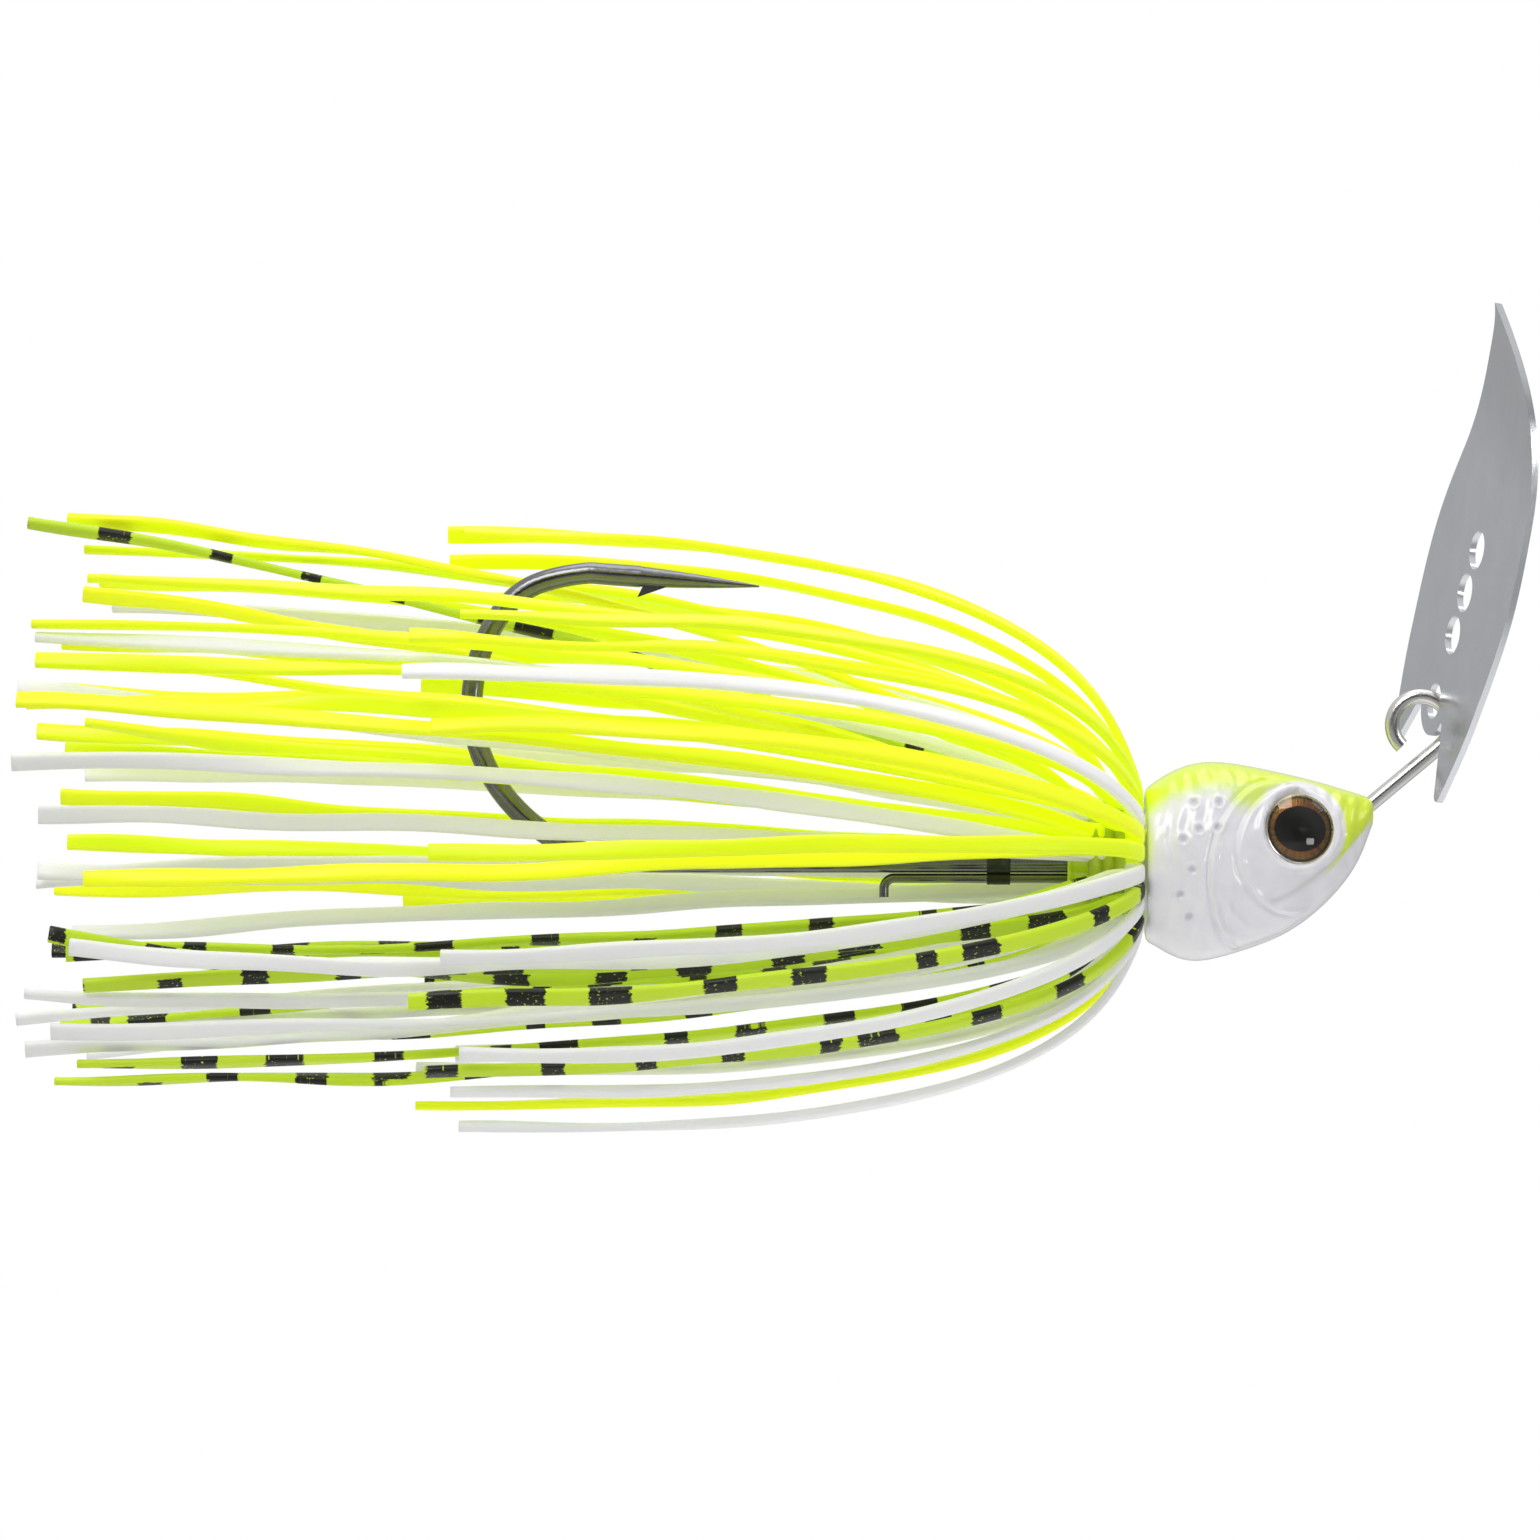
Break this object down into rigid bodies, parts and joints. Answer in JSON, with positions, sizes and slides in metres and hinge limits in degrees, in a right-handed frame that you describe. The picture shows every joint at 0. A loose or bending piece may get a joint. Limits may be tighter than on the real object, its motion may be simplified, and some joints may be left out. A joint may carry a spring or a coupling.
{
  "type": "bladed jig",
  "caption": "Fishing lure with a painted minnow head on a single hook, a swinging steel blade on a front wire loop, and a two-tone silicone skirt on a rubber collar.",
  "frame": {"origin": "where the hook's shank leaves the flat rear face of the head, which is the skirt's seat", "axes": "+X to the nose along the hook's shank, +Z to the side of the hook point, -Y to the lure's right side"},
  "size_m": [0.1035, 0.028, 0.0564],
  "materials": {
    "head_paint": "pearl white enamel with a chartreuse back under clear gloss",
    "black_nickel": "dark polished plating",
    "bright_wire": "bright drawn stainless wire",
    "polished_nickel": "polished plate with fine rolling marks",
    "black_rubber": "shrunk sleeve, satin",
    "collar_rubber": "satin",
    "eye_foil": "printed gold foil with a black pupil",
    "eye_lens": "clear domed resin",
    "chartreuse_silicone": "soft translucent, slightly fluorescent",
    "white_silicone": "soft translucent",
    "barred_silicone": "translucent chartreuse with printed black bars"
  },
  "bodies": {
    "head": {"head_casting": "head_paint", "hook": "black_nickel", "blade_loop": "bright_wire", "keeper_wire": "black_nickel", "keeper_sleeve": "black_rubber", "eye_disc_right": "eye_foil", "eye_disc_left": "eye_foil", "eye_lens_right": "eye_lens", "eye_lens_left": "eye_lens", "skirt_collar": "collar_rubber"},
    "blade": {"blade": "polished_nickel"},
    "right_top_tuft": {"right_top_chartreuse_strands": "chartreuse_silicone", "right_top_white_strands": "white_silicone"},
    "right_upper_tuft": {"right_upper_chartreuse_strands": "chartreuse_silicone", "right_upper_white_strands": "white_silicone"},
    "right_lower_tuft": {"right_lower_barred_strands": "barred_silicone", "right_lower_white_strands": "white_silicone"},
    "right_bottom_tuft": {"right_bottom_barred_strands": "barred_silicone", "right_bottom_white_strands": "white_silicone"},
    "left_top_tuft": {"left_top_barred_strands": "barred_silicone", "left_top_chartreuse_strands": "chartreuse_silicone", "left_top_white_strands": "white_silicone"},
    "left_upper_tuft": {"left_upper_chartreuse_strands": "chartreuse_silicone", "left_upper_white_strands": "white_silicone"},
    "left_lower_tuft": {"left_lower_barred_strands": "barred_silicone", "left_lower_chartreuse_strands": "chartreuse_silicone", "left_lower_white_strands": "white_silicone"},
    "left_bottom_tuft": {"left_bottom_barred_strands": "barred_silicone", "left_bottom_chartreuse_strands": "chartreuse_silicone", "left_bottom_white_strands": "white_silicone"}
  },
  "joints": [
    {"name": "blade_swing", "type": "hinge", "parent": "head", "child": "blade", "pos_m": [0.01903, 0, 0.00945], "axis": [0, 1, 0], "range_deg": [-75, 95]},
    {"name": "right_top_tuft_flare", "type": "hinge", "parent": "head", "child": "right_top_tuft", "pos_m": [-0.001, -0.00165, 0.00397], "axis": [0, 0.9239, 0.3827], "range_deg": [0, 12], "stiffness_Nm_per_rad": 0.001},
    {"name": "right_upper_tuft_flare", "type": "hinge", "parent": "head", "child": "right_upper_tuft", "pos_m": [-0.001, -0.00397, 0.00165], "axis": [0, 0.3827, 0.9239], "range_deg": [0, 12], "stiffness_Nm_per_rad": 0.001},
    {"name": "right_lower_tuft_flare", "type": "hinge", "parent": "head", "child": "right_lower_tuft", "pos_m": [-0.001, -0.00397, -0.00165], "axis": [0, -0.3827, 0.9239], "range_deg": [0, 12], "stiffness_Nm_per_rad": 0.001},
    {"name": "right_bottom_tuft_flare", "type": "hinge", "parent": "head", "child": "right_bottom_tuft", "pos_m": [-0.001, -0.00165, -0.00397], "axis": [0, -0.9239, 0.3827], "range_deg": [0, 12], "stiffness_Nm_per_rad": 0.001},
    {"name": "left_top_tuft_flare", "type": "hinge", "parent": "head", "child": "left_top_tuft", "pos_m": [-0.001, 0.00165, 0.00397], "axis": [0, 0.9239, -0.3827], "range_deg": [0, 12], "stiffness_Nm_per_rad": 0.001},
    {"name": "left_upper_tuft_flare", "type": "hinge", "parent": "head", "child": "left_upper_tuft", "pos_m": [-0.001, 0.00397, 0.00165], "axis": [0, 0.3827, -0.9239], "range_deg": [0, 12], "stiffness_Nm_per_rad": 0.001},
    {"name": "left_lower_tuft_flare", "type": "hinge", "parent": "head", "child": "left_lower_tuft", "pos_m": [-0.001, 0.00397, -0.00165], "axis": [0, -0.3827, -0.9239], "range_deg": [0, 12], "stiffness_Nm_per_rad": 0.001},
    {"name": "left_bottom_tuft_flare", "type": "hinge", "parent": "head", "child": "left_bottom_tuft", "pos_m": [-0.001, 0.00165, -0.00397], "axis": [0, -0.9239, -0.3827], "range_deg": [0, 12], "stiffness_Nm_per_rad": 0.001}
  ]
}
